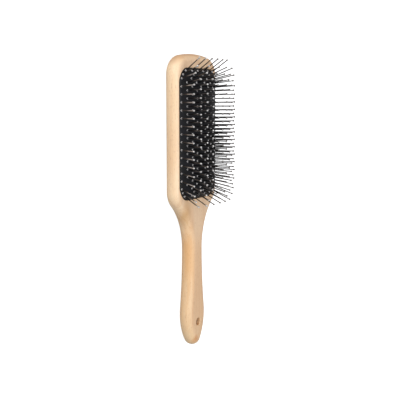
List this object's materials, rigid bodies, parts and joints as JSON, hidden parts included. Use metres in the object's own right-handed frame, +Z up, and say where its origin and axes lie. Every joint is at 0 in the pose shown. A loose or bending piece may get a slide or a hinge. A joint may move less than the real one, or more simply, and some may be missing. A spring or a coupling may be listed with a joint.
{
  "type": "paddle hairbrush",
  "caption": "Wooden paddle hairbrush with a domed black rubber air cushion, ball-tipped steel pins and a hanging hole through the grip",
  "frame": {"origin": "bottom centre of the whole brush's box, on the flat back of the body", "axes": "+Y from the grip's end to the head's top, +Z up from the flat back along the pins, +X across the head"},
  "size_m": [0.0696, 0.246, 0.0365],
  "materials": {
    "beech_wood": "satin clear-sealed beech",
    "black_rubber": "smooth moulded natural rubber, semi-matte",
    "cotton_backing": "plain-woven cotton bonded under the rubber",
    "steel_pin": "nickel-plated steel wire with polished ball tips"
  },
  "bodies": {
    "handle": {"handle_body": "beech_wood", "cushion": "black_rubber"},
    "pin_bed": {"backing_cloth": "cotton_backing", "pin_row_01": "steel_pin", "pin_row_02": "steel_pin", "pin_row_03": "steel_pin", "pin_row_04": "steel_pin", "pin_row_05": "steel_pin", "pin_row_06": "steel_pin", "pin_row_07": "steel_pin", "pin_row_08": "steel_pin", "pin_row_09": "steel_pin", "pin_row_10": "steel_pin", "pin_row_11": "steel_pin", "pin_row_12": "steel_pin", "pin_row_13": "steel_pin", "pin_row_14": "steel_pin", "pin_row_15": "steel_pin", "pin_row_16": "steel_pin", "pin_row_17": "steel_pin", "pin_row_18": "steel_pin", "pin_row_19": "steel_pin", "pin_row_20": "steel_pin", "pin_row_21": "steel_pin", "pin_row_22": "steel_pin", "pin_row_23": "steel_pin", "pin_row_24": "steel_pin", "pin_row_25": "steel_pin", "pin_row_26": "steel_pin", "pin_row_27": "steel_pin", "pin_row_28": "steel_pin", "pin_row_29": "steel_pin", "pin_row_30": "steel_pin", "pin_row_31": "steel_pin", "pin_row_32": "steel_pin", "pin_row_33": "steel_pin"}
  },
  "joints": [
    {"name": "cushion_press", "type": "slide", "parent": "handle", "child": "pin_bed", "axis": [0, 0, -1], "range_m": [0, 0.0022], "stiffness_N_per_m": 2500, "deforming": ["cushion"]}
  ]
}
